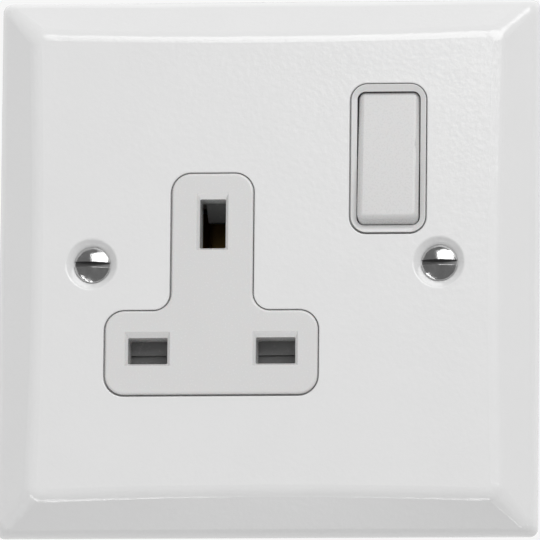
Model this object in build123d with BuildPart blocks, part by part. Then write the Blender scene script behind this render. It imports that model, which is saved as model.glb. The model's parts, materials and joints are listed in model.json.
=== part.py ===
from build123d import *
from math import atan2, cos, hypot, radians, sin, sqrt, tan
import os

os.makedirs("parts", exist_ok=True)

# The socket stands as it does on a wall: X to the right, Y into the wall, Z up.
# The origin is the centre of the plate on the wall plane.

# Front plate, pressed from sheet steel
plate_side = 94.0
plate_depth = 7.5
plate_skirt = 2.2
sheet = 1.2
bevel_width = 7.2
crease_bow = 0.9
crease_r = 3.5
crease_corner_r = 2.5
rim_r = 3.0
rim_corner_r = 1.5
aperture_gap = 0.25
aperture_shift = (-0.06, -0.06)
aperture_edge_r = 0.2

# Fixing screws, slotted, raised countersunk, in pressed dimples
screw_pitch = 60.3
screw_length = 25.0
shank_r = 1.75
shank_chamfer = 0.5
neck_r = 1.5
neck_end_y = -3.6
screw_head_r = 3.15
screw_head_rim = 0.25
screw_dome = 0.95
screw_slot_width = 0.9
screw_slot_depth = 1.35
screw_slot_turn = 2.0
screw_seat_gap = 0.03
screw_clearance = 0.15
dimple_r = 4.45
dimple_lip_r = 0.45
dimple_land = 0.9
small_edge = 0.3
cut_margin = 1.0

# Studs welded to the plate's back, with push-on nuts
stud_side_inset = 5.5
stud_end_inset = 7.5
top_stud_x = -1.0
top_stud_inset = 6.7
stud_r = 1.25
stud_length = 4.5
stud_clearance = 0.15
nut_r = 2.5
nut_thickness = 0.9

# T-shaped boss of the front moulding
insert_proud = 0.3
insert_edge_r = 0.4
insert_x = -9.15
stem_half_width = 7.05
base_half_width = 18.45
stem_top_z = 15.7
base_top_z = -8.3
base_bottom_z = -22.9
insert_outer_r = 3.3
insert_inner_r = 3.1
skin = 2.3
boss_wall = 1.8

# Slots, on the standard pin spacing
pin_spacing = 22.2
line_row_z = -15.25
line_slot_width = 6.85
line_slot_height = 4.6
earth_slot_width = 4.5
earth_slot_height = 8.6
slot_depth = 5.5
slot_r = 0.25
collar_wall = 1.5
lead_side = 0.5
lead_top = 0.97
lead_bottom = 0.35
lead_depth = 0.7
lead_overlap = 0.01

# Flange and skirt of the front moulding, and the housing behind it
body_width = 60.0
body_height = 67.0
body_r = 2.5
body_wall = 1.5
flange_thickness = 2.0
flange_lip = 2.0
screw_relief_r = 4.2
dimple_relief = 0.75
lug_notch_x = 24.0
lug_notch_half = 8.0
housing_web = 0.9
housing_depth = 21.0
housing_back_wall = 1.7
housing_edge_r = 1.0
rib = 1.2
earth_rib_x = 4.9
earth_rib_length = 12.0
line_rib_z = 4.7
terminal_rib_length = 10.0

# Screws that hold the housing to the front moulding
housing_screw_inset = 4.0
housing_screw_z = 14.0
low_screw_x = 5.6
low_screw_inset = 6.5
housing_screw_r = 1.45
housing_screw_length = 9.5
housing_screw_head_r = 2.3
housing_screw_head = 1.6
housing_screw_tip = 0.6
housing_screw_seat = 6.0
cross_length = 2.6
cross_width = 0.6
cross_depth = 0.9
boss_r = 3.4
post_boss_r = 2.6
thread_gap = 0.05

# Rocker and its dished surround
rocker_x = 21.3
rocker_z = 18.2
surround_width = 12.95
surround_height = 25.95
surround_r = 2.8
surround_proud = 0.1
surround_lip = 0.15
dish_depth = 0.35
rocker_width = 10.6
rocker_length = 22.6
rocker_corner_r = 1.2
rocker_edge_r = 1.0
rocker_crown = 0.25
rocker_proud = 0.8
rocker_gap = 0.2
well_end_room = 0.4
well_lip = 0.4
well_r = 1.4
pad_depth = 3.4
rocker_wall = 1.4
pivot_depth = 4.0
rocker_throw = 6.0
core_half = 3.2
trunnion_r = 1.5
trunnion_length = 1.0
bearing_wall = 1.3
well_wall_back = -0.5
running_clearance = 0.06

# Plunger and its spring in the rocker's post
post_r = 2.7
post_reach = 7.3
plunger_r = 1.5
plunger_reach = 10.25
plunger_length = 4.6
plunger_tip_r = 1.3
plunger_bore_depth = 6.4
plunger_spring_r = 1.1
plunger_wire_r = 0.17
plunger_spring_turns = 5

# Switch contacts, from strip
strip = 0.8
bar_pivot_y = 7.2
bar_offset = 0.7
bar_reach = 11.2
bar_tail = 6.0
bar_width = 5.0
bar_rock = 20.0
bar_pin_r = 0.9
bar_corner_r = 1.2
ear_gap = 0.3
ear_half = 2.2
pin_overhang = 0.3
tip_r = 1.5
tip_corner_r = 1.35
tip_height = 0.6
tip_place = 9.5
closed_gap = 0.15

# Shutter and its spring
shutter_thickness = 1.8
shutter_clearance = 0.2
shutter_corner_r = 0.8
blade_half_span = 15.6
blade_top_z = -12.2
blade_bottom_z = -18.3
blade_step = 0.8
blade_step_height = 3.0
shutter_stem_half = 5.6
window_half = 2.6
window_bottom_z = -3.2
tongue_half = 1.7
tongue_tip_z = 8.3
tongue_tip_r = 0.7
tongue_tip_chamfer = 1.0
tongue_top_z = 11.2
tongue_back_y = 3.0
shutter_top_z = 15.0
shutter_head_half = 3.2
guide_clearance = 0.3
guide_wall = 1.2
guide_top_z = 21.5
guide_bottom_z = -5.9
peg_r = 1.2
peg_height = 2.0
spring_r = 1.8
spring_wire_r = 0.22
spring_turns = 7
spring_top_z = 25.6
spring_seat = 1.5

# Pin contacts, bent from strip
line_jaw_half_width = 2.75
line_throat = 1.95
line_jaw_y = 0.9
earth_jaw_half_height = 3.6
earth_throat = 1.95
earth_jaw_y = 3.6
jaw_flare = 1.1
jaw_flare_length = 2.3
jaw_taper = 0.6
jaw_bend_r = 1.5
jaw_land = 0.2
strip_corner_r = 0.6
base_y = 10.8
earth_base_y = 15.2
earth_base_half_width = 3.3
contact_strip_width = 5.0
link_x = 6.9
link_width = 4.0
arm_top_z = 29.8
arm_height = 4.8
arm_end_x = 24.0
strap_above_terminal = 2.2
strap_width = 4.0
strap_foot = 4.8
strap_bend_r = 1.3

# Terminals, in line along the lower edge
terminal_inset = 7.1
terminal_width = 8.0
terminal_height = 7.6
terminal_depth = 7.6
terminal_edge = 0.4
live_terminal_x = 14.0
wire_bore_r = 1.95
wire_bore_y = 14.0
wire_bore_depth = 6.4
terminal_screw_r = 2.0
terminal_head_r = 2.8
terminal_head = 1.3
terminal_slot_depth = 0.78
terminal_screw_gap = 0.1
terminal_head_gap = 0.4
terminal_access_r = 3.3

# Places worked out from the sizes above
bevel_angle = atan2(plate_depth - plate_skirt, bevel_width)
crease_half = plate_side / 2 - bevel_width + crease_bow
face_y = -plate_depth
sheet_back_y = face_y + sheet
flange_back_y = sheet_back_y + flange_thickness
insert_y = face_y - insert_proud
slot_back_y = insert_y + slot_depth
surround_y = face_y - surround_proud
dish_y = surround_y + dish_depth
pivot_y = face_y - rocker_proud + pivot_depth
housing_floor_y = housing_depth - housing_back_wall
shutter_front_y = slot_back_y + shutter_clearance
shutter_back_y = shutter_front_y + shutter_thickness
terminal_front_y = base_y + strip
terminal_back_y = terminal_front_y + terminal_depth
neutral_x = insert_x - pin_spacing / 2
live_x = insert_x + pin_spacing / 2
earth_z = line_row_z + pin_spacing
half_length = rocker_length / 2
rocker_end_r = hypot(half_length, pivot_depth - rocker_crown)
well_width = rocker_width + 2 * rocker_gap
mouth_height = 2 * (sqrt(rocker_end_r**2 - (pivot_y - dish_y) ** 2) + rocker_gap)
well_height = 2 * (rocker_end_r + well_end_room)
screw_places = {"left": -screw_pitch / 2, "right": screw_pitch / 2}
terminal_places = {"live": live_terminal_x, "neutral": neutral_x, "earth": insert_x}
terminal_z = terminal_inset - body_height / 2
strap_z = terminal_z + strap_above_terminal
stud_x = body_width / 2 - stud_side_inset
stud_z = body_height / 2 - stud_end_inset
stud_places = ((-stud_x, stud_z), (top_stud_x, body_height / 2 - top_stud_inset), (stud_x, -stud_z))
housing_screw_x = body_width / 2 - housing_screw_inset
housing_screw_places = (
    (-housing_screw_x, housing_screw_z),
    (low_screw_x, low_screw_inset - body_height / 2),
    (housing_screw_x, -housing_screw_z),
)
slots = (
    (neutral_x, line_row_z, line_slot_width, line_slot_height),
    (live_x, line_row_z, line_slot_width, line_slot_height),
    (insert_x, earth_z, earth_slot_width, earth_slot_height),
)
out_of_wall = (90, 0, 0)
into_wall = (-90, 0, 0)
from_base = (Align.CENTER, Align.CENTER, Align.MIN)


def at_y(y):
    """A plane parallel to the wall: local X is X, local Y is Z, extrusions come forward."""
    return Plane.XZ.offset(-y)


def tilted(y, z, angle):
    """A plane across the switch: local X is Y and local Y is Z, both turned about the pivot."""
    turn = radians(angle)
    return Plane((rocker_x, y, z), x_dir=(0, cos(turn), sin(turn)), z_dir=(1, 0, 0))


def rocker_plane(forward):
    """A plane square to the rocker, in front of its pivot: local Y runs up the rocker."""
    turn = radians(rocker_throw)
    facing = (0, -cos(turn), sin(turn))
    return Plane((rocker_x, pivot_y, rocker_z), x_dir=(1, 0, 0), z_dir=facing).offset(forward)


def crease_outline(half, bow, corner_r):
    """The plate's front crease: four sides that bow in a little between rounded corners."""
    corners = ((-half, half), (half, half), (half, -half), (-half, -half))
    middles = ((0, half - bow), (half - bow, 0), (0, bow - half), (bow - half, 0))
    with BuildSketch() as outline:
        with BuildLine():
            for k in range(4):
                ThreePointArc(corners[k], middles[k], corners[(k + 1) % 4])
        make_face()
        fillet(vertices(), corner_r)
    return outline.sketch


def t_outline(grow):
    """The T of the moulded insert, grown outward by a gap or shrunk by a wall."""
    stem_height = stem_top_z - base_bottom_z + 2 * grow
    base_height = base_top_z - base_bottom_z + 2 * grow
    with BuildSketch() as outline:
        with Locations((insert_x, stem_top_z + grow - stem_height / 2)):
            RectangleRounded(2 * (stem_half_width + grow), stem_height, insert_outer_r + grow)
        with Locations((insert_x, base_top_z + grow - base_height / 2)):
            RectangleRounded(2 * (base_half_width + grow), base_height, insert_outer_r + grow)
        shoulders = vertices().filter_by(lambda v: abs(v.Y - base_top_z - grow) < 0.01)
        fillet(shoulders.sort_by(Axis.X)[1:3], insert_inner_r - grow)
    return outline.sketch


def skirt_outline(inset):
    """The moulding's skirt, relieved round the two fixing screws."""
    with BuildSketch() as outline:
        RectangleRounded(body_width - 2 * inset, body_height - 2 * inset, body_r - inset)
        with Locations(*[(x, 0) for x in screw_places.values()]):
            Circle(screw_relief_r + inset, mode=Mode.SUBTRACT)
    return outline.sketch


def housing_outline(inset):
    """The housing's outline, notched at both sides to pass the lugs of a wall box."""
    notch = body_width / 2 - lug_notch_x + inset
    with BuildSketch() as outline:
        RectangleRounded(body_width - 2 * inset, body_height - 2 * inset, body_r - inset)
        with Locations((-body_width / 2, 0), (body_width / 2, 0)):
            Rectangle(2 * notch, 2 * (lug_notch_half + inset), mode=Mode.SUBTRACT)
    return outline.sketch


def bent_strip(points, radius, side=Side.LEFT):
    """The edge view of a strip bent along points, one strip thick to the given side."""
    with BuildSketch() as profile:
        with BuildLine():
            FilletPolyline(*points, radius=radius)
            offset(amount=strip, side=side)
        make_face()
    return profile.sketch


def jaw(mouth_y, end_y, centre, throat):
    """Two spring leaves that close on a pin, in a plane whose local X runs into the wall."""
    with BuildSketch() as leaves:
        for way, side in ((1, Side.LEFT), (-1, Side.RIGHT)):
            points = (
                (mouth_y, centre + way * (throat + jaw_flare)),
                (mouth_y + jaw_flare_length, centre + way * throat),
                (end_y, centre + way * (throat + jaw_taper)),
            )
            add(bent_strip(points, jaw_bend_r, side))
    return leaves.sketch


def coil(base, direction, radius, wire_r, length, turns):
    """A compression spring's wire, wound about a line from base."""
    pitch = (length - 2 * wire_r) / turns
    start = base + direction * wire_r
    with BuildPart() as spring:
        with BuildLine() as path:
            Helix(pitch, pitch * turns, radius, center=start, direction=direction)
        with BuildSketch(Plane(path.line @ 0, z_dir=path.line % 0)):
            RegularPolygon(wire_r, 6)
        sweep(path=path.line, is_frenet=True)
    return spring.part


def write(part, name):
    part.label = name
    export_step(part, f"parts/{name}.step")


# Front plate: skirt, bevelled sides and a crease that bows in between its corners
with BuildPart() as front_plate:
    with BuildSketch(at_y(0)):
        RectangleRounded(plate_side, plate_side, rim_corner_r)
    extrude(amount=plate_skirt)
    with BuildSketch(at_y(-plate_skirt)):
        RectangleRounded(plate_side, plate_side, rim_corner_r)
    with BuildSketch(at_y(face_y)):
        add(crease_outline(crease_half, crease_bow, crease_corner_r))
    loft(ruled=True)
    fillet(faces().sort_by(Axis.Y)[0].edges(), crease_r)
    rim = edges().filter_by(lambda e: abs(e.center().Y + plate_skirt) < 0.01)
    fillet(rim, rim_r)
    # The hollow behind, one sheet's thickness in
    inner_side = plate_side - 2 * sheet
    inner_skirt = plate_skirt - sheet * tan((radians(90) - bevel_angle) / 2)
    inner_crease = crease_half - sheet * tan(bevel_angle / 2)
    with BuildSketch(at_y(0)):
        Rectangle(inner_side, inner_side)
    extrude(amount=inner_skirt, mode=Mode.SUBTRACT)
    with BuildSketch(at_y(-inner_skirt)):
        RectangleRounded(inner_side, inner_side, rim_corner_r / 2)
    with BuildSketch(at_y(sheet_back_y)):
        add(crease_outline(inner_crease, crease_bow, crease_corner_r))
    loft(ruled=True, mode=Mode.SUBTRACT)
    # Conical dimples for the fixing screws, pressed through to the back
    hole_r = shank_r + screw_clearance
    cone_back = (dimple_r + sheet * (2**0.5 - 1), hole_r + dimple_land * sheet)
    with Locations(*[Location((x, sheet_back_y, 0), into_wall) for x in screw_places.values()]):
        Cone(cone_back[0], cone_back[1], cone_back[0] - cone_back[1], align=from_base)
    with Locations(*[Location((x, face_y, 0), out_of_wall) for x in screw_places.values()]):
        CounterSinkHole(hole_r, dimple_r, counter_sink_angle=90)
    lips = edges().filter_by(GeomType.CIRCLE).group_by(Axis.Y)[0]
    fillet(lips.filter_by(lambda e: abs(e.radius - dimple_r) < 0.01), dimple_lip_r)
    # Apertures for the T and for the rocker's surround, their front edges softened
    with BuildSketch(at_y(sheet_back_y + cut_margin)):
        with Locations(aperture_shift):
            add(t_outline(aperture_gap))
        with Locations((rocker_x + aperture_shift[0], rocker_z + aperture_shift[1])):
            RectangleRounded(
                surround_width + 2 * aperture_gap,
                surround_height + 2 * aperture_gap,
                surround_r + aperture_gap,
            )
    extrude(amount=sheet + 2 * cut_margin, mode=Mode.SUBTRACT)
    for wire in faces().sort_by(Axis.Y)[0].inner_wires():
        if wire.bounding_box().size.X > 3 * dimple_r:
            fillet(wire.edges(), aperture_edge_r)

write(front_plate.part, "front_plate")

# Studs welded to the plate, and the push-on nuts that clamp the moulding
for number, (x, z) in enumerate(stud_places, start=1):
    with BuildPart() as plate_stud:
        with BuildSketch(at_y(sheet_back_y + stud_length)):
            with Locations((x, z)):
                Circle(stud_r)
        extrude(amount=stud_length)
        chamfer(edges().sort_by(Axis.Y)[-1], small_edge)
    write(plate_stud.part, f"plate_stud_{number}")
    with BuildPart() as stud_nut:
        with BuildSketch(at_y(flange_back_y + nut_thickness)):
            with Locations((x, z)):
                Circle(nut_r)
                Circle(stud_r + thread_gap, mode=Mode.SUBTRACT)
        extrude(amount=nut_thickness)
        chamfer(edges().group_by(Axis.Y)[-1].sort_by(SortBy.RADIUS)[-1], small_edge)
    write(stud_nut.part, f"stud_nut_{number}")

# Fixing screws: domed slotted head, short neck, and a shank of the thread's outer size
dome_r = (screw_head_r**2 + screw_dome**2) / (2 * screw_dome)
for name, x in screw_places.items():
    seat_y = face_y + dimple_r - screw_head_r - screw_seat_gap
    rim_y = seat_y - screw_head_rim
    end_y = rim_y + screw_length
    with BuildPart() as fixing_screw:
        with BuildSketch(Plane.XY):
            with BuildLine():
                Polyline(
                    (x, rim_y - screw_dome),
                    (x, end_y),
                    (x + shank_r - shank_chamfer, end_y),
                    (x + shank_r, end_y - shank_chamfer),
                    (x + shank_r, neck_end_y + shank_r - neck_r),
                    (x + neck_r, neck_end_y),
                    (x + neck_r, seat_y + screw_head_r - neck_r),
                    (x + screw_head_r, seat_y),
                    (x + screw_head_r, rim_y),
                )
                RadiusArc((x + screw_head_r, rim_y), (x, rim_y - screw_dome), dome_r)
            make_face()
        revolve(axis=Axis((x, 0, 0), (0, 1, 0)))
        turn = screw_slot_turn if name == "left" else 0
        with BuildSketch(at_y(rim_y - screw_dome + screw_slot_depth)):
            with Locations(Location((x, 0, 0), (0, 0, turn))):
                Rectangle(3 * screw_head_r, screw_slot_width)
        extrude(amount=screw_slot_depth + cut_margin, mode=Mode.SUBTRACT)
    write(fixing_screw.part, f"fixing_screw_{name}")

# Front moulding: T boss, rocker surround, flange, skirt, slots and shutter guides
with BuildPart() as front_moulding:
    with BuildSketch(at_y(flange_back_y)):
        add(t_outline(0))
    extrude(amount=flange_back_y - insert_y)
    fillet(faces().sort_by(Axis.Y)[0].edges(), insert_edge_r)
    with BuildSketch(at_y(flange_back_y)):
        with Locations((rocker_x, rocker_z)):
            RectangleRounded(surround_width, surround_height, surround_r)
    extrude(amount=flange_back_y - surround_y)
    with BuildSketch(at_y(flange_back_y)):
        RectangleRounded(body_width + 2 * flange_lip, body_height + 2 * flange_lip, body_r)
        with Locations(*[(x, 0) for x in screw_places.values()]):
            Circle(dimple_r + dimple_relief, mode=Mode.SUBTRACT)
    extrude(amount=flange_thickness)
    with BuildSketch(at_y(0)):
        add(skirt_outline(0))
        add(skirt_outline(body_wall), mode=Mode.SUBTRACT)
    extrude(amount=-flange_back_y)
    # Hollow of the T boss, and a collar round each slot for the shutter to slide on
    with BuildSketch(at_y(flange_back_y)):
        add(t_outline(-boss_wall))
    extrude(amount=flange_back_y - insert_y - skin, mode=Mode.SUBTRACT)
    with BuildSketch(at_y(slot_back_y)):
        for x, z, width, height in slots:
            with Locations((x, z)):
                Rectangle(width + 2 * collar_wall, height + 2 * collar_wall)
    extrude(amount=slot_depth - skin)
    for x, z, width, height in slots:
        with BuildSketch(at_y(slot_back_y)):
            with Locations((x, z)):
                RectangleRounded(width, height, slot_r)
        extrude(amount=slot_depth, mode=Mode.SUBTRACT)
        with BuildSketch(at_y(insert_y)):
            with Locations((x, z + (lead_top - lead_bottom) / 2)):
                Rectangle(width + 2 * lead_side, height + lead_top + lead_bottom)
        with BuildSketch(at_y(insert_y + lead_depth)):
            with Locations((x, z)):
                Rectangle(width - 2 * lead_overlap, height - 2 * lead_overlap)
        loft(ruled=True, mode=Mode.SUBTRACT)
    # Rails beside the shutter's stem, and the seat of its spring
    guide_x = shutter_stem_half + guide_clearance + guide_wall / 2
    with BuildSketch(at_y(shutter_back_y)):
        with Locations((insert_x - guide_x, (guide_top_z + guide_bottom_z) / 2)):
            Rectangle(guide_wall, guide_top_z - guide_bottom_z)
        with Locations((insert_x + guide_x, (guide_top_z + guide_bottom_z) / 2)):
            Rectangle(guide_wall, guide_top_z - guide_bottom_z)
    extrude(amount=shutter_back_y - flange_back_y)
    with BuildSketch(at_y(tongue_back_y)):
        with Locations((insert_x, spring_top_z + spring_seat / 2)):
            Rectangle(2 * shutter_head_half, spring_seat)
    extrude(amount=tongue_back_y - flange_back_y)
    # Posts for the housing screws
    with BuildSketch(at_y(0)):
        with Locations(*housing_screw_places):
            Circle(post_boss_r)
    extrude(amount=-flange_back_y)
    # Walls of the rocker's well, which carry its trunnions
    with BuildSketch(at_y(well_wall_back)):
        with Locations((rocker_x, rocker_z)):
            RectangleRounded(well_width + 2 * bearing_wall, well_height + 2 * bearing_wall, well_r)
    extrude(amount=well_wall_back - flange_back_y)
    with BuildSketch(at_y(well_wall_back)):
        with Locations((rocker_x, rocker_z)):
            RectangleRounded(well_width, well_height, well_r)
    extrude(amount=well_wall_back - dish_y - well_lip, mode=Mode.SUBTRACT)
    with BuildSketch(at_y(dish_y + well_lip)):
        with Locations((rocker_x, rocker_z)):
            RectangleRounded(well_width, mouth_height, well_r)
    extrude(amount=well_lip, mode=Mode.SUBTRACT)
    with BuildSketch(at_y(surround_y)):
        with Locations((rocker_x, rocker_z)):
            RectangleRounded(
                surround_width - 2 * surround_lip,
                surround_height - 2 * surround_lip,
                surround_r - surround_lip,
            )
    with BuildSketch(at_y(dish_y)):
        with Locations((rocker_x, rocker_z)):
            RectangleRounded(well_width, mouth_height, well_r)
    loft(ruled=True, mode=Mode.SUBTRACT)
    # Trunnion bores, screw pilots, stud holes and the window for the earth strap
    with BuildSketch(Plane.YZ.offset(rocker_x)):
        with Locations((pivot_y, rocker_z)):
            Circle(trunnion_r + running_clearance)
    extrude(amount=well_width / 2 + bearing_wall, both=True, mode=Mode.SUBTRACT)
    with Locations(*[Location((x, 0, z), into_wall) for x, z in housing_screw_places]):
        Hole(housing_screw_r + thread_gap, depth=-flange_back_y)
    with Locations(*[Location((x, flange_back_y, z), into_wall) for x, z in stud_places]):
        Hole(stud_r + stud_clearance, depth=flange_thickness)
    window_top = strap_z + strip
    window_height = strap_foot + 2 * strip
    with BuildSketch(at_y(flange_back_y)):
        with Locations((insert_x, window_top - window_height / 2)):
            Rectangle(strap_width + strip, window_height)
    extrude(amount=flange_thickness, mode=Mode.SUBTRACT)

write(front_moulding.part, "front_moulding")

# Rear housing: web, notched box, ribs, terminal bays and screw tubes
with BuildPart() as rear_housing:
    with BuildSketch(at_y(housing_depth)):
        add(housing_outline(0))
    extrude(amount=housing_depth)
    fillet(edges().filter_by(Axis.Y), housing_edge_r)
    fillet(faces().sort_by(Axis.Y)[-1].edges(), housing_edge_r)
    with BuildSketch(at_y(housing_web)):
        add(skirt_outline(0))
    extrude(amount=housing_web)
    with BuildSketch(at_y(housing_floor_y)):
        add(housing_outline(body_wall))
    extrude(amount=housing_floor_y, mode=Mode.SUBTRACT)
    # Ribs beside the pin contacts, and between the terminals
    with BuildSketch(at_y(housing_floor_y)):
        with Locations((insert_x - earth_rib_x, earth_z), (insert_x + earth_rib_x, earth_z)):
            Rectangle(rib, earth_rib_length)
        with Locations((neutral_x, line_row_z + line_rib_z), (live_x, line_row_z + line_rib_z)):
            Rectangle(2 * line_jaw_half_width, rib)
    extrude(amount=housing_floor_y)
    with BuildSketch(at_y(housing_floor_y)):
        with Locations(((neutral_x + insert_x) / 2, (terminal_rib_length - body_height) / 2)):
            Rectangle(rib, terminal_rib_length)
    extrude(amount=housing_floor_y - terminal_front_y)
    # Tubes for the housing screws
    with BuildSketch(at_y(housing_floor_y)):
        with Locations(*housing_screw_places):
            Circle(boss_r)
        Rectangle(body_width - body_wall, body_height - body_wall, mode=Mode.INTERSECT)
    extrude(amount=housing_floor_y)
    with Locations(*[Location((x, housing_depth, z), into_wall) for x, z in housing_screw_places]):
        CounterBoreHole(
            housing_screw_r + 2 * stud_clearance,
            housing_screw_head_r + 2 * stud_clearance,
            housing_depth - housing_screw_seat,
        )
    # Screw access and wire entry for each terminal
    with Locations(
        *[Location((x, housing_depth, terminal_z), into_wall) for x in terminal_places.values()]
    ):
        Hole(terminal_access_r, depth=housing_back_wall)
    with Locations(
        *[Location((x, wire_bore_y, -body_height / 2), (180, 0, 0)) for x in terminal_places.values()]
    ):
        Hole(wire_bore_r, depth=2 * body_wall)

write(rear_housing.part, "rear_housing")

# Screws that hold the housing, driven from the back
for number, (x, z) in enumerate(housing_screw_places, start=1):
    with BuildPart() as housing_screw:
        with BuildSketch(at_y(housing_screw_seat)):
            with Locations((x, z)):
                Circle(housing_screw_r)
        extrude(amount=housing_screw_length)
        chamfer(edges().sort_by(Axis.Y)[0], housing_screw_tip)
        with BuildSketch(at_y(housing_screw_seat + housing_screw_head)):
            with Locations((x, z)):
                Circle(housing_screw_head_r)
        extrude(amount=housing_screw_head)
        chamfer(edges().sort_by(Axis.Y)[-1], small_edge)
        with BuildSketch(at_y(housing_screw_seat + housing_screw_head)):
            with Locations((x, z)):
                Rectangle(cross_length, cross_width)
                Rectangle(cross_width, cross_length)
        extrude(amount=cross_depth, mode=Mode.SUBTRACT)
    write(housing_screw.part, f"housing_screw_{number}")

# Rocker, switched off: its lower end stands proud, and its ends are curved about the pivot
pad_back = pivot_depth - pad_depth
rocker_front = pivot_depth - rocker_crown
with BuildPart() as rocker:
    with BuildSketch(tilted(pivot_y, rocker_z, -rocker_throw)):
        with BuildLine():
            end_z = sqrt(rocker_end_r**2 - pad_back**2)
            ThreePointArc((-rocker_front, -half_length), (-pivot_depth, 0), (-rocker_front, half_length))
            RadiusArc((-rocker_front, half_length), (-pad_back, end_z), rocker_end_r)
            Line((-pad_back, end_z), (-pad_back, -end_z))
            RadiusArc((-pad_back, -end_z), (-rocker_front, -half_length), rocker_end_r)
        make_face()
    extrude(amount=rocker_width / 2, both=True)
    ends = edges().filter_by(GeomType.CIRCLE).filter_by(lambda e: abs(e.radius - rocker_end_r) < 0.01)
    fillet(ends, rocker_corner_r)
    fillet(faces().sort_by(Axis((0, 0, 0), rocker_plane(0).z_dir))[-1].edges(), rocker_edge_r)
    with BuildSketch(rocker_plane(pad_back)):
        Rectangle(rocker_width - 2 * rocker_wall, rocker_length - 2 * rocker_wall)
    extrude(amount=pad_depth - rocker_wall - rocker_crown, mode=Mode.SUBTRACT)
    # Core with the trunnions, and the post that holds the plunger
    with BuildSketch(rocker_plane(-trunnion_r)):
        Rectangle(rocker_width, 2 * core_half)
    extrude(amount=pivot_depth + trunnion_r - rocker_wall / 2 - rocker_crown)
    with BuildSketch(rocker_plane(-post_reach)):
        Circle(post_r)
    extrude(amount=post_reach)
    with BuildSketch(Plane.YZ.offset(rocker_x)):
        with Locations((pivot_y, rocker_z)):
            Circle(trunnion_r)
    extrude(amount=well_width / 2 + trunnion_length, both=True)
    with BuildSketch(rocker_plane(-post_reach)):
        Circle(plunger_r + running_clearance)
    extrude(amount=plunger_bore_depth, mode=Mode.SUBTRACT)

write(rocker.part, "rocker")

# Plunger, and the spring behind it in the post
with BuildPart() as plunger:
    with BuildSketch(rocker_plane(-plunger_reach)):
        Circle(plunger_r)
    extrude(amount=plunger_length)
    fillet(edges().sort_by(Axis((0, 0, 0), rocker_plane(0).z_dir))[0], plunger_tip_r)

write(plunger.part, "plunger")

plunger_back = plunger_length - plunger_reach
plunger_spring = coil(
    rocker_plane(plunger_back).origin,
    rocker_plane(0).z_dir,
    plunger_spring_r,
    plunger_wire_r,
    plunger_bore_depth - post_reach - plunger_back,
    plunger_spring_turns,
)
write(plunger_spring, "plunger_spring")

# Moving contact: a bar that rocks on its pin, with a silver tip at its upper end
bar_plane = tilted(bar_pivot_y, rocker_z, bar_rock / 2)
pin_half = bar_width / 2 + ear_gap + strip + pin_overhang
with BuildPart() as moving_contact:
    with BuildSketch(bar_plane):
        with Locations((-bar_offset, (bar_reach - bar_tail) / 2)):
            Rectangle(strip, bar_reach + bar_tail)
    extrude(amount=bar_width / 2, both=True)
    fillet(edges().filter_by(Axis(bar_plane.origin, bar_plane.x_dir)), bar_corner_r)
    with BuildSketch(bar_plane):
        Circle(bar_pin_r)
    extrude(amount=pin_half, both=True)

write(moving_contact.part, "moving_contact")

tip_base = strip / 2 - bar_offset
with BuildPart() as moving_tip:
    with BuildSketch(bar_plane):
        with Locations((tip_base + tip_height / 2, tip_place)):
            Rectangle(tip_height, 2 * tip_r)
    extrude(amount=tip_r, both=True)
    fillet(edges().filter_by(Axis(bar_plane.origin, bar_plane.x_dir)), tip_corner_r)

write(moving_tip.part, "moving_tip")

# Where the closed tip ends up, which sets the fixed tip's height
closed = radians(-bar_rock / 2)
closed_y = bar_pivot_y + (tip_base + tip_height) * cos(closed) - (tip_place + tip_r) * sin(closed)
closed_z = rocker_z + tip_place * cos(closed)
fixed_tip_y = closed_y + closed_gap
with BuildPart() as fixed_tip:
    with BuildSketch(at_y(base_y)):
        with Locations((rocker_x, closed_z)):
            Circle(tip_r)
    extrude(amount=base_y - fixed_tip_y)
    chamfer(edges().group_by(Axis.Y)[0], small_edge)

write(fixed_tip.part, "fixed_tip")

# Feed strip from the live terminal, with two ears that hold the moving contact's pin
strip_bottom = terminal_z - terminal_height / 2 + strip
saddle_top = rocker_z + ear_half
ear_x = bar_width / 2 + ear_gap + strip / 2
with BuildPart() as feed_strip:
    with BuildSketch(at_y(terminal_front_y)):
        with Locations((live_terminal_x, (saddle_top + strip_bottom) / 2)):
            RectangleRounded(contact_strip_width, saddle_top - strip_bottom, strip_corner_r)
        saddle_right = rocker_x + ear_x + strip / 2
        saddle_left = live_terminal_x - contact_strip_width / 2
        with Locations(((saddle_left + saddle_right) / 2, rocker_z)):
            RectangleRounded(saddle_right - saddle_left, 2 * ear_half, strip_corner_r)
    extrude(amount=strip)
    for side in (-1, 1):
        with BuildSketch(Plane.YZ.offset(rocker_x + side * ear_x)):
            with Locations(((base_y + bar_pivot_y) / 2, rocker_z)):
                Rectangle(base_y - bar_pivot_y, 2 * ear_half)
            with Locations((bar_pivot_y, rocker_z)):
                Circle(ear_half)
                Circle(bar_pin_r + running_clearance, mode=Mode.SUBTRACT)
        extrude(amount=strip / 2, both=True)

write(feed_strip.part, "feed_strip")

# Live contact: jaws, base, and a link up to the arm that carries the fixed tip
base_half_height = line_throat + jaw_taper + strip + jaw_land
with BuildPart() as live_contact:
    link_right = link_x + link_width / 2
    with BuildSketch(at_y(terminal_front_y)):
        base_left = live_x - line_jaw_half_width
        with Locations(((base_left + link_right) / 2, line_row_z)):
            Rectangle(link_right - base_left, 2 * base_half_height)
        link_bottom = line_row_z - base_half_height
        with Locations((link_x, (link_bottom + arm_top_z) / 2)):
            Rectangle(link_width, arm_top_z - link_bottom)
        arm_left = link_x - link_width / 2
        with Locations(((arm_left + arm_end_x) / 2, arm_top_z - arm_height / 2)):
            Rectangle(arm_end_x - arm_left, arm_height)
        fillet(vertices(), strip_corner_r)
    extrude(amount=strip)
    with BuildSketch(Plane.YZ.offset(live_x)):
        add(jaw(line_jaw_y, base_y + strip / 2, line_row_z, line_throat))
    extrude(amount=line_jaw_half_width, both=True)

write(live_contact.part, "live_contact")

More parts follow.
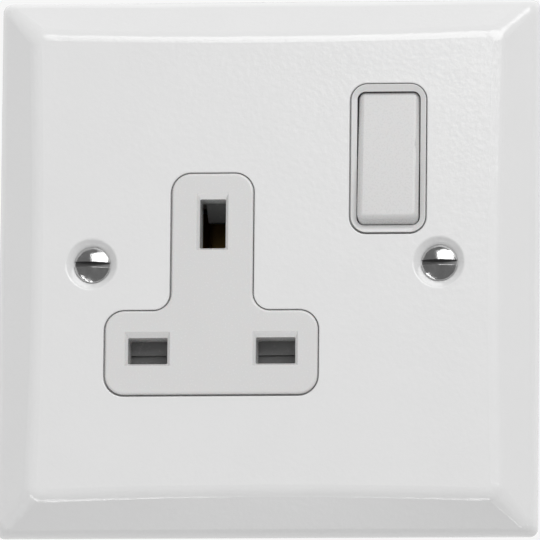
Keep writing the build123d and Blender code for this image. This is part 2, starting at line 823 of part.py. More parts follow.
# Neutral contact: the same jaws, on a strip straight down to its terminal
with BuildPart() as neutral_contact:
    base_top = line_row_z + base_half_height
    with BuildSketch(at_y(terminal_front_y)):
        with Locations((neutral_x, (base_top + strip_bottom) / 2)):
            RectangleRounded(2 * line_jaw_half_width, base_top - strip_bottom, strip_corner_r)
    extrude(amount=strip)
    with BuildSketch(Plane.YZ.offset(neutral_x)):
        add(jaw(line_jaw_y, base_y + strip / 2, line_row_z, line_throat))
    extrude(amount=line_jaw_half_width, both=True)

write(neutral_contact.part, "neutral_contact")

# Earth contact: deeper jaws for the long pin, on a strip that steps forward to its terminal
with BuildPart() as earth_contact:
    with BuildSketch(Plane.YZ.offset(insert_x)):
        points = (
            (earth_base_y, earth_z + earth_jaw_half_height),
            (earth_base_y, line_row_z + pin_spacing / 4),
            (base_y, line_row_z - pin_spacing / 4),
            (base_y, strip_bottom),
        )
        add(bent_strip(points, jaw_bend_r))
    extrude(amount=contact_strip_width / 2, both=True)
    with BuildSketch(at_y(earth_base_y + strip)):
        with Locations((insert_x, earth_z)):
            RectangleRounded(2 * earth_base_half_width, 2 * earth_jaw_half_height, strip_corner_r)
    extrude(amount=strip)
    with BuildSketch(Plane((0, 0, earth_z), x_dir=(0, 1, 0), z_dir=(0, 0, -1))):
        add(jaw(earth_jaw_y, earth_base_y + strip / 2, insert_x, earth_throat))
    extrude(amount=earth_jaw_half_height, both=True)

write(earth_contact.part, "earth_contact")

# Earth strap, bent forward from the earth contact to press on the plate's back
with BuildPart() as earth_strap:
    with BuildSketch(Plane.YZ.offset(insert_x)):
        points = (
            (base_y, strap_z - strap_foot),
            (base_y, strap_z),
            (sheet_back_y, strap_z),
            (sheet_back_y, strap_z - strap_foot),
        )
        add(bent_strip(points, strap_bend_r))
    extrude(amount=strap_width / 2, both=True)

write(earth_strap.part, "earth_strap")

# Terminal blocks and their screws, backed out and reached from behind
for name, x in terminal_places.items():
    with BuildPart() as terminal:
        with BuildSketch(at_y(terminal_back_y)):
            with Locations((x, terminal_z)):
                Rectangle(terminal_width, terminal_height)
        extrude(amount=terminal_depth)
        chamfer(edges().filter_by(Axis.Y), terminal_edge)
        with Locations(Location((x, wire_bore_y, terminal_z - terminal_height / 2), (180, 0, 0))):
            Hole(wire_bore_r, depth=wire_bore_depth)
        with Locations(Location((x, terminal_back_y, terminal_z), into_wall)):
            Hole(terminal_screw_r + thread_gap, depth=terminal_back_y - wire_bore_y)
    write(terminal.part, f"{name}_terminal")
    screw_tip_y = wire_bore_y + wire_bore_r + terminal_screw_gap
    head_y = terminal_back_y + terminal_head_gap
    with BuildPart() as terminal_screw:
        with BuildSketch(at_y(head_y)):
            with Locations((x, terminal_z)):
                Circle(terminal_screw_r)
        extrude(amount=head_y - screw_tip_y)
        with BuildSketch(at_y(head_y + terminal_head)):
            with Locations((x, terminal_z)):
                Circle(terminal_head_r)
        extrude(amount=terminal_head)
        chamfer(edges().sort_by(Axis.Y)[-1], small_edge)
        with BuildSketch(at_y(head_y + terminal_head)):
            with Locations((x, terminal_z)):
                Rectangle(3 * terminal_head_r, screw_slot_width)
        extrude(amount=terminal_slot_depth, mode=Mode.SUBTRACT)
    write(terminal_screw.part, f"{name}_terminal_screw")

# Shutter: stepped blades over the line slots, and a ramp behind the earth slot
with BuildPart() as shutter:
    blade_height = blade_top_z - blade_bottom_z
    with BuildSketch(at_y(shutter_back_y)):
        with Locations((insert_x, (blade_top_z + blade_bottom_z) / 2)):
            Rectangle(2 * blade_half_span, blade_height)
        with Locations((insert_x, (shutter_top_z + blade_bottom_z) / 2)):
            Rectangle(2 * shutter_stem_half, shutter_top_z - blade_bottom_z)
        fillet(vertices(), shutter_corner_r)
        with Locations((insert_x, (tongue_top_z + window_bottom_z) / 2)):
            Rectangle(2 * window_half, tongue_top_z - window_bottom_z, mode=Mode.SUBTRACT)
    extrude(amount=shutter_thickness)
    with BuildSketch(at_y(shutter_front_y + blade_step)):
        with Locations((insert_x, blade_bottom_z + blade_step_height / 2)):
            Rectangle(2 * blade_half_span, blade_step_height)
    extrude(amount=blade_step, mode=Mode.SUBTRACT)
    with BuildSketch(Plane.YZ.offset(insert_x)):
        with BuildLine():
            Polyline(
                (shutter_front_y, tongue_top_z),
                (tongue_back_y - tongue_tip_chamfer, tongue_tip_z),
                (tongue_back_y, tongue_tip_z + tongue_tip_chamfer),
                (tongue_back_y, shutter_top_z),
                (shutter_front_y, shutter_top_z),
                close=True,
            )
        make_face()
        fillet(vertices().sort_by(Axis.Y)[0], tongue_tip_r)
    extrude(amount=tongue_half, both=True)
    with BuildSketch(at_y(tongue_back_y)):
        with Locations((insert_x, (tongue_top_z + shutter_top_z) / 2)):
            Rectangle(2 * shutter_head_half, shutter_top_z - tongue_top_z)
    extrude(amount=tongue_back_y - shutter_front_y)
    spring_y = (shutter_front_y + tongue_back_y) / 2
    with Locations((insert_x, spring_y, shutter_top_z)):
        Cylinder(peg_r, peg_height, align=from_base)

write(shutter.part, "shutter")

shutter_spring = coil(
    Vector(insert_x, spring_y, shutter_top_z),
    Vector(0, 0, 1),
    spring_r,
    spring_wire_r,
    spring_top_z - shutter_top_z,
    spring_turns,
)
write(shutter_spring, "shutter_spring")
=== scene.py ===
import json
import math

import bpy
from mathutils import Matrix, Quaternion, Vector


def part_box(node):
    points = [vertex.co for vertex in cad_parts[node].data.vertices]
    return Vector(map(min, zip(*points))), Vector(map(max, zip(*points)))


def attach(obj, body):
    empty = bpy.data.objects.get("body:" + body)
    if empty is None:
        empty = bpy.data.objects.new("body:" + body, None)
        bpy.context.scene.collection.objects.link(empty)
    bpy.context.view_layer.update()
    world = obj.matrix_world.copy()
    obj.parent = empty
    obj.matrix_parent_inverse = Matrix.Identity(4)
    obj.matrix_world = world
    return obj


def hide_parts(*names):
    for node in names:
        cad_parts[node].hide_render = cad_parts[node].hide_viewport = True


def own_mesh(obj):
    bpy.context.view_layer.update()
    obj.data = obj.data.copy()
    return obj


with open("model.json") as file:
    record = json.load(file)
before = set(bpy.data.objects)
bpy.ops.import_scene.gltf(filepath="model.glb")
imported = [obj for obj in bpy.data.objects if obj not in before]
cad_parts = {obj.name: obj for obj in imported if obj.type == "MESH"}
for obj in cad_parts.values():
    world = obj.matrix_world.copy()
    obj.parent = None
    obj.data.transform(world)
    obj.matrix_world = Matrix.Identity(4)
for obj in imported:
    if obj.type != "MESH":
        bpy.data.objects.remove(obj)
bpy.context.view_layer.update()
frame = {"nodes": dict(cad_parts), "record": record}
nodes = frame["nodes"]
millimetre = 0.001
weldReach = 1e-6  # points nearer than this become one


class Signal:  # one shader socket that can be used in Python sums
    def __init__(self, sheet, socket):
        self.sheet = sheet
        self.socket = socket

    def combine(self, operation, first, second):
        return self.sheet.node("ShaderNodeMath", {"operation": operation}, {0: first, 1: second})

    def __add__(self, other):
        return self.combine("ADD", self, other)

    def __radd__(self, other):
        return self.combine("ADD", other, self)

    def __sub__(self, other):
        return self.combine("SUBTRACT", self, other)

    def __rsub__(self, other):
        return self.combine("SUBTRACT", other, self)

    def __mul__(self, other):
        return self.combine("MULTIPLY", self, other)

    def __rmul__(self, other):
        return self.combine("MULTIPLY", other, self)

    def __gt__(self, other):
        return self.combine("GREATER_THAN", self, other)

    def __lt__(self, other):
        return self.combine("LESS_THAN", self, other)

    def __abs__(self):
        return self.combine("ABSOLUTE", self, 0)


class NodeSheet:  # the node tree of one material or of the world
    def __init__(self, owner):
        owner.use_nodes = True
        self.tree = owner.node_tree
        self.tree.nodes.clear()

    def node(self, kind, settings=None, inputs=None, output=0):
        made = self.tree.nodes.new(kind)
        for name, value in (settings or {}).items():
            if name == "stops":
                self.setStops(made.color_ramp.elements, value)
            else:
                setattr(made, name, value)
        for name, value in (inputs or {}).items():
            if isinstance(value, Signal):
                self.tree.links.new(value.socket, made.inputs[name])
            else:
                made.inputs[name].default_value = value
        return Signal(self, made.outputs[output]) if made.outputs else None

    def setStops(self, ramp, stops):  # a ramp's positions and grey values
        for number, (position, tone) in enumerate(stops):
            stop = ramp[number] if number < len(ramp) else ramp.new(position)
            stop.position = position
            stop.color = grey(tone)

    def point(self):
        return self.node("ShaderNodeTexCoord", output="Object")

    def axes(self, vector):
        return [self.node("ShaderNodeSeparateXYZ", None, {"Vector": vector}, output=name) for name in "XYZ"]

    def noise(self, size, detail, stretch=(1, 1, 1)):  # size is one blotch, in mm
        place = self.node("ShaderNodeMapping", {"vector_type": "POINT"}, {"Vector": self.point(), "Scale": stretch})
        inputs = {"Vector": place, "Scale": 1 / (size * millimetre), "Detail": detail}
        return self.node("ShaderNodeTexNoise", None, inputs)

    def steps(self, value, low, high):  # 0 below low, 1 above high
        return self.node("ShaderNodeValToRGB", {"stops": [(low, 0), (high, 1)]}, {0: value})

    def mix(self, share, first, second):  # the colour sockets of a Mix node are its inputs 6 and 7
        return self.node("ShaderNodeMix", {"data_type": "RGBA"}, {0: share, 6: first, 7: second}, output=2)

    def bump(self, height, depth, under=None):  # depth in mm
        inputs = {"Height": height, "Distance": depth * millimetre, "Strength": 1.0}
        if under:
            inputs["Normal"] = under
        return self.node("ShaderNodeBump", None, inputs)

    def surface(self, inputs):
        shader = self.node("ShaderNodeBsdfPrincipled", None, inputs)
        self.node("ShaderNodeOutputMaterial", None, {"Surface": shader})


def grey(value, warmth=0.0):
    return (value * (1 + warmth), value, value * (1 - warmth), 1)


def newSheet(name):
    material = bpy.data.materials.new(name)
    return material, NodeSheet(material)


powderCoat = {
    "dark": grey(0.788), "light": grey(0.812), "drift": 9, "rough": 0.1, "gloss": 0.9,
    "backDark": grey(0.47), "backLight": grey(0.61, 0.01), "patch": 3, "backRough": 0.25, "backFrom": 0.35,
    "speck": 0.35, "speckRough": 0.1, "peel": 0.9, "peelDepth": 0.018, "grain": 0.28, "grainDepth": 0.005,
}


def makePowderCoat(values):
    material, sheet = newSheet("powderCoat")
    facing = sheet.axes(sheet.node("ShaderNodeNewGeometry", output="Normal"))
    isBack = facing[1] > values["backFrom"]  # the coat is thin on the side that faces the wall
    front = sheet.mix(sheet.noise(values["drift"], detail=3), values["dark"], values["light"])
    back = sheet.mix(sheet.noise(values["patch"], detail=5), values["backDark"], values["backLight"])
    speck = sheet.noise(values["speck"], detail=4)
    peel = sheet.bump(sheet.noise(values["peel"], detail=1), values["peelDepth"])
    sheet.surface({
        "Base Color": sheet.mix(isBack, front, back),
        "Roughness": values["rough"] + values["speckRough"] * speck + values["backRough"] * isBack,
        "Normal": sheet.bump(sheet.noise(values["grain"], detail=3), values["grainDepth"], peel),
        "Specular IOR Level": values["gloss"],
    })
    return material


mouldings = {
    "whiteMoulding": {"tone": 0.70, "rough": 0.2, "grainDepth": 0.005},
    "rockerPlastic": {"tone": 0.605, "rough": 0.22, "grainDepth": 0.002},
    "housingPlastic": {"tone": 0.70, "rough": 0.42, "grainDepth": 0.007},
}
mouldingSkin = {
    "darker": 0.014, "lighter": 0.012, "warmth": 0.004, "flow": 14.4, "flowStretch": (1, 1, 0.4),
    "speck": 0.3, "speckRough": 0.12, "ripple": 2.4, "rippleDepth": 0.006, "grain": 0.22,
    "coat": 0.5, "coatRough": 0.07, "glow": 0.04, "glowReach": 0.6,
}


def makeMoulding(name, values, skin):
    material, sheet = newSheet(name)
    flow = sheet.noise(skin["flow"], detail=4, stretch=skin["flowStretch"])
    dark = grey(values["tone"] - skin["darker"], skin["warmth"])
    light = grey(values["tone"] + skin["lighter"], skin["warmth"])
    ripple = sheet.bump(sheet.noise(skin["ripple"], detail=1), skin["rippleDepth"])
    sheet.surface({
        "Base Color": sheet.mix(flow, dark, light),
        "Roughness": values["rough"] + skin["speckRough"] * sheet.noise(skin["speck"], detail=3),
        "Normal": sheet.bump(sheet.noise(skin["grain"], detail=2), values["grainDepth"], ripple),
        "Coat Weight": skin["coat"],
        "Coat Roughness": skin["coatRough"],
        "Subsurface Weight": skin["glow"],
        "Subsurface Scale": skin["glowReach"] * millimetre,
    })
    return material


shutterPlastic = {
    "dark": grey(0.17), "light": grey(0.23), "cloud": 4, "rough": 0.45, "cloudRough": 0.2,
    "dust": 0.6, "dustTone": grey(0.4), "dustShare": 0.25, "dustFrom": 0.55, "dustTo": 0.72,
    "grain": 0.5, "grainDepth": 0.006,
}


def makeShutterPlastic(values):
    material, sheet = newSheet("shutterPlastic")
    cloud = sheet.noise(values["cloud"], detail=4)
    dust = sheet.steps(sheet.noise(values["dust"], detail=5), values["dustFrom"], values["dustTo"])
    clean = sheet.mix(cloud, values["dark"], values["light"])
    sheet.surface({
        "Base Color": sheet.mix(values["dustShare"] * dust, clean, values["dustTone"]),
        "Roughness": values["rough"] + values["cloudRough"] * cloud,
        "Normal": sheet.bump(sheet.noise(values["grain"], detail=3), values["grainDepth"]),
    })
    return material


plainPlastics = {
    "nylon": {
        "dark": (0.66, 0.65, 0.58, 1), "light": (0.76, 0.75, 0.7, 1), "cloud": 1.5, "cloudDetail": 3,
        "rough": 0.38, "cloudRough": 0.15, "grain": 0.4, "grainDepth": 0.004,
    },
    "redMark": {
        "dark": (0.5, 0.012, 0.01, 1), "light": (0.62, 0.03, 0.02, 1), "cloud": 0.8, "cloudDetail": 4,
        "rough": 0.35, "cloudRough": 0.15, "grain": 0.3, "grainDepth": 0.003,
    },
}


def makePlainPlastic(name, values):
    material, sheet = newSheet(name)
    cloud = sheet.noise(values["cloud"], detail=values["cloudDetail"])
    sheet.surface({
        "Base Color": sheet.mix(cloud, values["dark"], values["light"]),
        "Roughness": values["rough"] + values["cloudRough"] * cloud,
        "Normal": sheet.bump(sheet.noise(values["grain"], detail=2), values["grainDepth"]),
    })
    return material


fixingScrew = {  # mm and degrees; the chrome plate reads the dome too, to paint shade into the slots
    "headRadius": 3.15, "dome": 0.95, "rim": 0.25, "neckRadius": 1.5, "domeSteps": 14, "facets": 96,
    "slotWidth": 0.9, "slotDepth": 1.35, "slotTurn": {"left": 2.0, "right": 0.0},
    "edgeWidth": 0.05, "edgeSegments": 2, "edgeAngle": 50, "smooth": 30,
    "threadStart": 4.9, "pitch": 0.6, "depth": 0.34, "crest": 0.08, "root": 0.12, "threadSteps": 32,
}
chromePlate = {
    "dark": grey(0.48), "light": grey(0.72), "smear": 1.2, "rough": 0.08,
    # the darker grey for the screw slots is painted shade
    "smearRough": 0.14, "smearFrom": 0.45, "smearTo": 0.7, "slotShadeTone": grey(0.24), "slotRough": 0.3, "slotFrom": 0.07,
    "scratch": 0.14, "scratchStretch": (0.15, 1, 1), "scratchDepth": 0.008, "dent": 1.1, "dentDepth": 0.045,
}


def domeBall(radius, dome):  # the radius of the ball that a dome is cut from
    return (radius**2 + dome**2) / (2 * dome)


def underDome(sheet, clearance):  # 1 where a face lies under the dome of either fixing screw, as in its slot, where the chrome plate paints shade
    low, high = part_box("fixing_screw_right")
    ball = domeBall((high.x - low.x) / 2, fixingScrew["dome"] * millimetre)
    across, depth, height = sheet.axes(sheet.point())
    inputs = {"X": abs(across) - (low.x + high.x) / 2, "Y": depth - (low.y + ball), "Z": height}
    arm = sheet.node("ShaderNodeCombineXYZ", None, inputs)
    distance = sheet.node("ShaderNodeVectorMath", {"operation": "LENGTH"}, {0: arm}, output="Value")
    return distance < ball - clearance


def makeChromePlate(values):
    material, sheet = newSheet("chromePlate")
    smear = sheet.noise(values["smear"], detail=4)
    smeared = sheet.steps(smear, values["smearFrom"], values["smearTo"])
    paintedSlotShade = underDome(sheet, values["slotFrom"] * millimetre)
    bright = sheet.mix(smear, values["dark"], values["light"])
    dents = sheet.bump(sheet.noise(values["dent"], detail=3), values["dentDepth"])
    scratches = sheet.noise(values["scratch"], detail=6, stretch=values["scratchStretch"])
    sheet.surface({
        # painted shade: faces in the screw slots get a darker grey than the dome
        "Base Color": sheet.mix(paintedSlotShade, bright, values["slotShadeTone"]),
        "Metallic": 1.0,
        "Roughness": values["rough"] + values["slotRough"] * paintedSlotShade + values["smearRough"] * smeared,
        "Normal": sheet.bump(scratches, values["scratchDepth"], dents),
    })
    return material


platedMetals = {
    "platedSteel": {"dark": grey(0.42, 0.01), "light": grey(0.6), "rough": 0.3, "streak": (1, 1, 1)},
    "springWire": {"dark": grey(0.24), "light": grey(0.4), "rough": 0.34, "streak": (1, 1, 1)},
    "brassStrip": {
        "dark": (0.34, 0.22, 0.08, 1), "light": (0.52, 0.36, 0.15, 1), "rough": 0.3, "streak": (1, 1, 0.08),
    },
    "brassBlock": {
        "dark": (0.5, 0.34, 0.12, 1), "light": (0.66, 0.46, 0.19, 1), "rough": 0.33, "streak": (0.1, 1, 1),
    },
    "silverFace": {"dark": grey(0.66, 0.02), "light": grey(0.82, 0.01), "rough": 0.2, "streak": (1, 1, 1)},
}
metalSkin = {"cloud": 2.5, "cloudRough": 0.16, "rolling": 0.22, "rollingDepth": 0.004}


def makePlatedMetal(name, values, skin):
    material, sheet = newSheet(name)
    cloud = sheet.noise(skin["cloud"], detail=5)
    rolling = sheet.noise(skin["rolling"], detail=4, stretch=values["streak"])
    sheet.surface({
        "Base Color": sheet.mix(cloud, values["dark"], values["light"]),
        "Metallic": 1.0,
        "Roughness": values["rough"] + skin["cloudRough"] * cloud,
        "Normal": sheet.bump(rolling, skin["rollingDepth"]),
    })
    return material


finishes = {
    "powder_coat": makePowderCoat(powderCoat),
    "shutter_plastic": makeShutterPlastic(shutterPlastic),
    "nylon": makePlainPlastic("nylon", plainPlastics["nylon"]),
    "chrome_plate": makeChromePlate(chromePlate),
}
for slotName, finishName in (
    ("white_moulding", "whiteMoulding"), ("rocker_plastic", "rockerPlastic"), ("housing_plastic", "housingPlastic"),
):
    finishes[slotName] = makeMoulding(finishName, mouldings[finishName], mouldingSkin)
for slotName, finishName in (
    ("plated_steel", "platedSteel"), ("spring_wire", "springWire"), ("brass_strip", "brassStrip"),
    ("brass_block", "brassBlock"), ("silver", "silverFace"),
):
    finishes[slotName] = makePlatedMetal(finishName, platedMetals[finishName], metalSkin)

for part in frame["record"]["subparts"]:
    for slot in nodes[part["node"]].material_slots:
        slot.material = finishes[part["material_slot"]]
print("materials done")


floorSetup = {  # metres; the cloud is in mm
    "height": -1.6, "size": 30.0, "dark": grey(0.65), "light": grey(0.67), "cloud": 300, "rough": 0.8,
    "seen": grey(0.92),
}


def makeFloor(values):
    bpy.ops.object.select_all(action="DESELECT")
    bpy.ops.mesh.primitive_plane_add(size=values["size"], location=(0, 0, values["height"]))
    floor = bpy.context.object
    floor.name = "floor"
    material, sheet = newSheet("floorPaint")
    plain = sheet.mix(sheet.noise(values["cloud"], detail=3), values["dark"], values["light"])
    toCamera = sheet.node("ShaderNodeLightPath", output="Is Camera Ray")
    sheet.surface({
        "Base Color": sheet.mix(toCamera, plain, values["seen"]),  # paler to the camera than to the socket
        "Roughness": values["rough"],
    })
    floor.data.materials.append(material)
    floor.visible_glossy = False  # the chrome mirrors the dim room instead


roomSetup = {
    "light": 0.845, "depthGlow": 0.5, "rightShade": 0.12, "gloss": 0.2, "backdrop": 0.93,
    "backFrom": 0.45, "backTo": 0.7,
}


def makeRoom(values):
    world = bpy.data.worlds.new("softRoom")
    bpy.context.scene.world = world
    sheet = NodeSheet(world)
    toCamera = sheet.node("ShaderNodeLightPath", output="Is Camera Ray")
    toGloss = sheet.node("ShaderNodeLightPath", output="Is Glossy Ray")
    through = sheet.node("ShaderNodeLightPath", output="Is Transmission Ray")
    across, depth = sheet.axes(sheet.node("ShaderNodeTexCoord", output="Generated"))[:2]
    atBack = sheet.steps(0.5 * depth + 0.5, values["backFrom"], values["backTo"])  # from 0 in front to 1 behind
    walls = values["light"] + values["depthGlow"] * depth - values["rightShade"] * across
    pale = sheet.mix(toGloss * atBack, walls, grey(values["backdrop"]))
    dim = sheet.mix(toGloss * (1 - atBack), pale, grey(values["gloss"]))
    room = sheet.mix(toCamera + through, dim, grey(values["backdrop"]))
    light = sheet.node("ShaderNodeBackground", None, {"Color": room, "Strength": 1.0})
    sheet.node("ShaderNodeOutputWorld", None, {"Surface": light})


lamps = {  # degrees, metres and watts
    "key": {"azimuth": 22, "elevation": 32, "distance": 1.3, "size": (1.3, 0.95), "roll": 0, "power": 10.0},
    "low": {"azimuth": -30, "elevation": -51, "distance": 0.5, "size": (0.6, 0.025), "roll": -48, "power": 0.26},
}
cameraSetup = {  # frameWidth is what the picture takes in at the aim
    "azimuth": 6.0, "elevation": -9.0, "roll": 0.549, "distance": 1.8, "frameWidth": 0.09351,
    "aim": (0.000429, -0.003, -0.000545), "sensor": 36, "near": 0.05, "far": 50,
}


def lookBack(values):  # the direction from the socket to a lamp or camera
    turn, lift = math.radians(values["azimuth"]), math.radians(values["elevation"])
    return Vector((math.sin(turn) * math.cos(lift), -math.cos(turn) * math.cos(lift), math.sin(lift)))


def faceSocket(placed, values):
    placed.rotation_mode = "QUATERNION"
    level = (-lookBack(values)).to_track_quat("-Z", "Y")
    placed.rotation_quaternion = level @ Quaternion((0, 0, 1), math.radians(values["roll"]))


def makeLamp(name, values):
    bpy.ops.object.light_add(type="AREA", location=lookBack(values) * values["distance"])
    lamp = bpy.context.object
    lamp.name = name
    faceSocket(lamp, values)
    lamp.data.shape = "RECTANGLE"
    lamp.data.size, lamp.data.size_y = values["size"]
    lamp.data.energy = values["power"]
    lamp.visible_camera = False


def makeCamera(values):
    bpy.ops.object.camera_add(location=Vector(values["aim"]) + lookBack(values) * values["distance"])
    camera = bpy.context.object
    faceSocket(camera, values)
    camera.data.sensor_width = values["sensor"]
    camera.data.lens = values["sensor"] * values["distance"] / values["frameWidth"]
    camera.data.clip_start = values["near"]
    camera.data.clip_end = values["far"]
    bpy.context.scene.camera = camera


makeFloor(floorSetup)
makeRoom(roomSetup)
for lampName, lampValues in lamps.items():
    makeLamp(lampName, lampValues)
makeCamera(cameraSetup)
bpy.context.scene.view_settings.view_transform = "Standard"
print("stage done")


def selectOnly(piece):
    bpy.ops.object.select_all(action="DESELECT")
    piece.select_set(True)
    bpy.context.view_layer.objects.active = piece


def applyModifier(piece, modifier):
    selectOnly(piece)
    bpy.ops.object.modifier_apply(modifier=modifier.name)


def editAll(piece):
    selectOnly(piece)
    bpy.ops.object.mode_set(mode="EDIT")
    bpy.ops.mesh.select_all(action="SELECT")


def endEdit():
    bpy.ops.object.mode_set(mode="OBJECT")


def joinAll(pieces):
    selectOnly(pieces[0])
    for piece in pieces[1:]:
        piece.select_set(True)
    bpy.ops.object.join()
    return pieces[0]


def settle(piece, name, body, material):  # names a finished piece and hangs it on its body
    selectOnly(piece)
    bpy.ops.object.transform_apply(location=True, rotation=True, scale=True)
    piece.name = name
    piece.data.name = name
    piece.data.materials.clear()
    piece.data.materials.append(material)
    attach(piece, body)


def addBlock(centre, size):
    bpy.ops.object.select_all(action="DESELECT")
    bpy.ops.mesh.primitive_cube_add(size=1, location=centre)
    block = bpy.context.object
    block.scale = size
    bpy.ops.object.transform_apply(location=False, rotation=False, scale=True)
    return block


def drawLine(name, points):  # an edge chain, drawn by extruding one vertex
    bpy.ops.object.select_all(action="DESELECT")
    bpy.ops.mesh.primitive_plane_add(size=millimetre, location=(0, 0, 0))
    piece = bpy.context.object
    piece.name = name
    editAll(piece)
    bpy.ops.mesh.merge(type="CENTER")
    bpy.ops.transform.translate(value=points[0])
    for start, end in zip(points, points[1:]):
        step = Vector(end) - Vector(start)
        bpy.ops.mesh.extrude_vertices_move(TRANSFORM_OT_translate={"value": step})
    endEdit()
    return piece


def sweepRound(piece, steps, rise=0.0, turns=1):  # takes a profile round Z, as a lathe or along a thread
    sweep = piece.modifiers.new("sweep", "SCREW")
    sweep.axis = "Z"
    sweep.screw_offset = rise
    sweep.iterations = turns
    sweep.steps = steps
    sweep.render_steps = steps
    sweep.use_merge_vertices = True
    sweep.merge_threshold = weldReach
    applyModifier(piece, sweep)
    editAll(piece)
    bpy.ops.mesh.remove_doubles(threshold=weldReach)
    bpy.ops.mesh.normals_make_consistent(inside=False)
    endEdit()
    return piece


def cutAway(point, outward):  # in edit mode; keeps what lies behind the plane
    bpy.ops.mesh.select_all(action="SELECT")
    bpy.ops.mesh.bisect(plane_co=point, plane_no=outward, use_fill=True, clear_outer=True)


def headProfile(values):  # half the head's outline, from the middle of the dome to the end of the neck
    radius, dome = values["headRadius"] * millimetre, values["dome"] * millimetre
    ball = domeBall(radius, dome)
    widest = math.asin(radius / ball)
    profile = []
    for number in range(values["domeSteps"] + 1):
        angle = widest * number / values["domeSteps"]
        profile.append((ball * math.sin(angle), 0, ball * (1 - math.cos(angle))))
    rim, neck = dome + values["rim"] * millimetre, values["neckRadius"] * millimetre
    end = values["threadStart"] * millimetre
    return profile + [(radius, 0, rim), (neck, 0, rim + radius - neck), (neck, 0, end), (0, 0, end)]


def makeHead(values):  # turned about Z with its dome at the bottom, then its slot is cut
    head = sweepRound(drawLine("head", headProfile(values)), values["facets"])
    slotLength = 4 * values["headRadius"]  # well past both sides of the head
    blade = addBlock((0, 0, 0), Vector((slotLength, values["slotWidth"], 2 * values["slotDepth"])) * millimetre)
    cut = head.modifiers.new("slot", "BOOLEAN")
    cut.operation = "DIFFERENCE"
    cut.solver = "EXACT"
    cut.object = blade
    applyModifier(head, cut)
    selectOnly(blade)
    bpy.ops.object.delete()
    worn = head.modifiers.new("edges", "BEVEL")
    worn.limit_method = "ANGLE"
    worn.angle_limit = math.radians(values["edgeAngle"])
    worn.width = values["edgeWidth"] * millimetre
    worn.segments = values["edgeSegments"]
    applyModifier(head, worn)
    return head


def makeThread(values, outer, length):
    inner = outer - values["depth"] * millimetre
    pitch, start = values["pitch"] * millimetre, values["threadStart"] * millimetre
    crest, root = values["crest"] * millimetre, values["root"] * millimetre
    flank = (pitch - crest - root) / 2
    profile = [
        (outer, 0, 0), (outer, 0, crest), (inner, 0, crest + flank), (inner, 0, crest + flank + root),
        (outer, 0, pitch),
    ]
    thread = sweepRound(drawLine("thread", profile), values["threadSteps"], pitch, math.ceil(length / pitch) + 1)
    editAll(thread)
    bpy.ops.transform.translate(value=(0, 0, start - pitch / 2))  # so that both cuts go through full turns
    cutAway((0, 0, start), (0, 0, -1))
    cutAway((0, 0, start + length), (0, 0, 1))
    endEdit()
    return thread


def makeScrews(values):  # modelled once, and copied to both sides
    low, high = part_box("fixing_screw_left")
    shank = frame["record"]["mounts"][0]["dims"]["stud_r_mm"] * millimetre
    thread = makeThread(values, shank, high.y - low.y - values["threadStart"] * millimetre)
    pattern = joinAll([makeHead(values), thread])
    bpy.ops.object.shade_smooth_by_angle(angle=math.radians(values["smooth"]))
    for side, slotTurn in values["slotTurn"].items():
        low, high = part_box(f"fixing_screw_{side}")
        selectOnly(pattern)
        bpy.ops.object.duplicate()
        screw = bpy.context.object
        screw.rotation_euler = (-math.pi / 2, math.radians(slotTurn), 0)
        screw.location = ((low.x + high.x) / 2, low.y, (low.z + high.z) / 2)
        settle(screw, f"threaded_screw_{side}", "base", finishes["chrome_plate"])
        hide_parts(f"fixing_screw_{side}")
    selectOnly(pattern)
    bpy.ops.object.delete()


makeScrews(fixingScrew)
print("screws done")


springs = {
    "shutter_spring": {"name": "shutter_coil", "body": "base", "joint": "shutter_lift", "smooth": 30},
    "plunger_spring": {"name": "plunger_coil", "body": "rocker", "joint": "plunger_slide", "smooth": 30},
}


def findJoint(name):
    return next(joint for joint in frame["record"]["behaviour"]["joints"] if joint["name"] == name)


def makeSpring(node, values):  # stands for a CAD spring
    spring = bpy.data.objects.new(values["name"], nodes[node].data.copy())
    bpy.context.scene.collection.objects.link(spring)
    editAll(spring)
    bpy.ops.mesh.remove_doubles(threshold=weldReach)
    endEdit()
    bpy.ops.object.shade_smooth_by_angle(angle=math.radians(values["smooth"]))
    settle(spring, values["name"], values["body"], finishes["spring_wire"])
    joint = findJoint(values["joint"])
    along = Vector(joint["axis"]).normalized()
    reach = [along.dot(vertex.co) for vertex in spring.data.vertices]
    fixedEnd, looseEnd = max(reach), min(reach)
    left = 1 - joint["range_m"][1] / (fixedEnd - looseEnd)
    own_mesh(spring)
    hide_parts(node)


for springNode, springValues in springs.items():
    makeSpring(springNode, springValues)
print("springs done")


onMark = {"width": 6.4, "from": 75.5, "to": 83.5, "proud": 0.02, "depth": 0.12, "facets": 240}  # mm and degrees


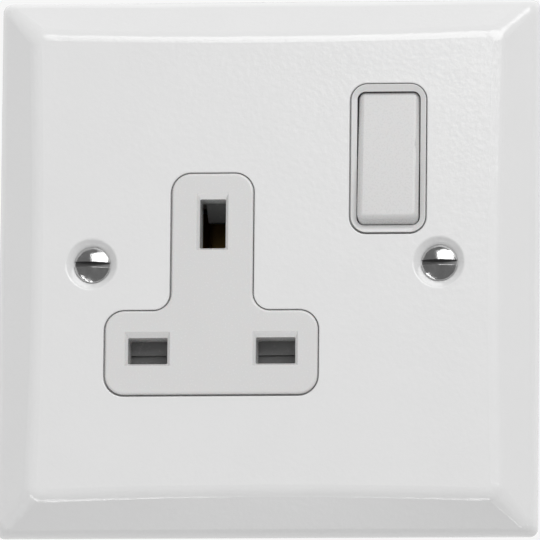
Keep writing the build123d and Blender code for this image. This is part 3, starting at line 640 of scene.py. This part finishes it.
def makeOnMark(values):  # the red band on the rocker's upper end, which shows when it is on
    hinge = findJoint("rocker_switch")
    pivot = Vector(hinge["pos_m"])
    reach = max((vertex.co - pivot).yz.length for vertex in nodes["rocker"].data.vertices)
    radius = reach + values["proud"] * millimetre
    bpy.ops.object.select_all(action="DESELECT")
    bpy.ops.mesh.primitive_cylinder_add(
        vertices=values["facets"], radius=radius, depth=values["width"] * millimetre,
        location=pivot, rotation=(0, math.pi / 2, 0),
    )
    band = bpy.context.object
    bpy.ops.object.transform_apply(location=True, rotation=True, scale=True)
    tilt = hinge["range_deg"][1] / 2  # the rocker lies this far over when it is off
    lowEdge, highEdge = math.radians(values["from"] + tilt), math.radians(values["to"] + tilt)
    middle = (lowEdge + highEdge) / 2
    outward = Vector((0, -math.cos(middle), math.sin(middle)))
    editAll(band)
    cutAway(pivot, (0, -math.sin(lowEdge), -math.cos(lowEdge)))
    cutAway(pivot, (0, math.sin(highEdge), math.cos(highEdge)))
    cutAway(pivot + outward * (radius - values["depth"] * millimetre), -outward)
    endEdit()
    settle(band, "on_mark", "rocker", makePlainPlastic("redMark", plainPlastics["redMark"]))


makeOnMark(onMark)
print("on mark done")


terminalMarks = {  # mm; the earth sign's places and lengths are shares of its size
    "letters": {"live": "L", "neutral": "N"}, "size": 3.4, "height": 0.22, "sunk": 0.1, "z": -20.2, "curveSteps": 2,
    "bar": 0.38, "stem": (0.45, 0.55), "rungs": ((0.8, 0.3), (0.52, 0.13), (0.24, -0.04)),
}


def makeLetter(letter, place, values):
    bpy.ops.object.select_all(action="DESELECT")
    bpy.ops.object.text_add(location=(0, 0, 0))
    text = bpy.context.object
    text.data.body = letter
    text.data.size = values["size"] * millimetre
    text.data.extrude = (values["height"] + values["sunk"]) / 2 * millimetre
    text.data.align_x = "CENTER"
    text.data.resolution_u = values["curveSteps"]
    bpy.ops.object.convert(target="MESH")
    text = bpy.context.object
    text.location = place
    text.rotation_euler = (math.pi / 2, 0, math.pi)
    return text


def makeEarthSign(place, values):
    size, bar = values["size"] * millimetre, values["bar"] * millimetre
    deep = (values["height"] + values["sunk"]) * millimetre
    tall, middle = values["stem"]
    blocks = [addBlock(place + Vector((0, 0, size * middle)), (bar, deep, size * tall))]
    for wide, height in values["rungs"]:
        blocks.append(addBlock(place + Vector((0, 0, size * height)), (size * wide, deep, bar)))
    return joinAll(blocks)


def makeTerminalMarks(values):
    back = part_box("rear_housing")[1].y + (values["height"] - values["sunk"]) / 2 * millimetre
    for name in ("live", "neutral", "earth"):
        low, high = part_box(f"{name}_terminal")
        place = Vector(((low.x + high.x) / 2, back, values["z"] * millimetre))
        letter = values["letters"].get(name)
        mark = makeLetter(letter, place, values) if letter else makeEarthSign(place, values)
        settle(mark, f"{name}_mark", "base", finishes["housing_plastic"])


makeTerminalMarks(terminalMarks)
print("terminal marks done")
